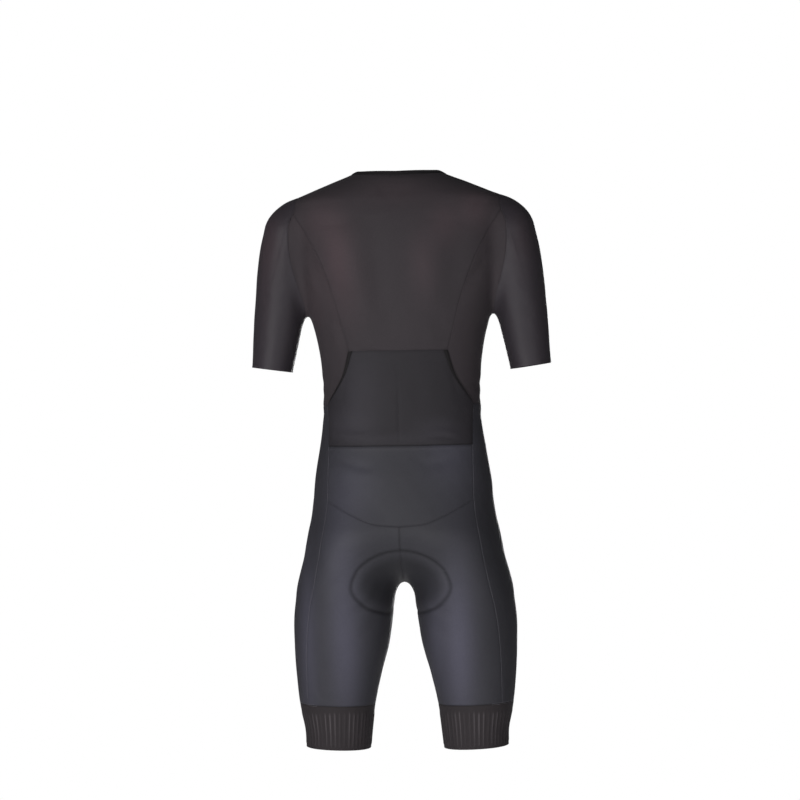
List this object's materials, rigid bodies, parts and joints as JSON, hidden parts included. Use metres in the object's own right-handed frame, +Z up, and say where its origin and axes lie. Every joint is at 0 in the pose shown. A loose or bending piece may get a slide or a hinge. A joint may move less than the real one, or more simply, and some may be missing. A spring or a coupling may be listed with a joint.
{
  "type": "triathlon suit",
  "caption": "Short-sleeved one-piece triathlon suit in charcoal mesh and knit, with a rear pocket, a short front zip, an inner seat pad and ribbed leg grippers, in its worn shape.",
  "frame": {"origin": "midway between the two places where the shoulder seams meet the neck, where the wearer's shoulders hold the suit", "axes": "+Z up the suit towards the neck, the front faces -Y, the wearer's left is +X"},
  "size_m": [0.507, 0.2306, 0.9737],
  "materials": {
    "bodice_mesh": "fine open mesh, warm charcoal",
    "side_mesh": "fine open mesh, warm charcoal",
    "sleeve_knit": "smooth stretch knit, charcoal",
    "pocket_knit": "smooth stretch knit, charcoal",
    "leg_knit": "smooth stretch knit with a soft sheen, cool dark grey",
    "leg_side_knit": "smooth stretch knit, near black",
    "gripper_band": "ribbed elastic band, near black",
    "binding": "folded knit binding, near black",
    "pad_foam": "brushed foam pad, near black",
    "zip_tape": "woven tape, near black",
    "zip_teeth": "matt moulded coil, near black",
    "zip_metal": "satin black lacquer"
  },
  "bodies": {
    "suit": {"back": "bodice_mesh", "front_left": "sleeve_knit", "front_right": "sleeve_knit", "side_left": "side_mesh", "side_right": "side_mesh", "sleeve_left": "sleeve_knit", "sleeve_right": "sleeve_knit", "neck_binding": "binding", "pocket": "pocket_knit", "pocket_mouth_left": "binding", "pocket_mouth_right": "binding", "yoke": "leg_knit", "seat_left": "leg_knit", "seat_right": "leg_knit", "leg_side_left": "leg_side_knit", "leg_side_right": "leg_side_knit", "leg_front_left": "leg_knit", "leg_front_right": "leg_knit", "gripper_left": "gripper_band", "gripper_right": "gripper_band", "seat_pad": "pad_foam", "zip_tape_left": "zip_tape", "zip_tape_right": "zip_tape", "zip_chain": "zip_teeth", "zip_slider": "zip_metal"},
    "zip_pull": {"zip_pull": "zip_metal"}
  },
  "joints": [
    {"name": "pull_swing", "type": "hinge", "parent": "suit", "child": "zip_pull", "pos_m": [0, -0.07812, -0.06338], "axis": [-1, 0, 0], "range_deg": [0, 150]}
  ]
}
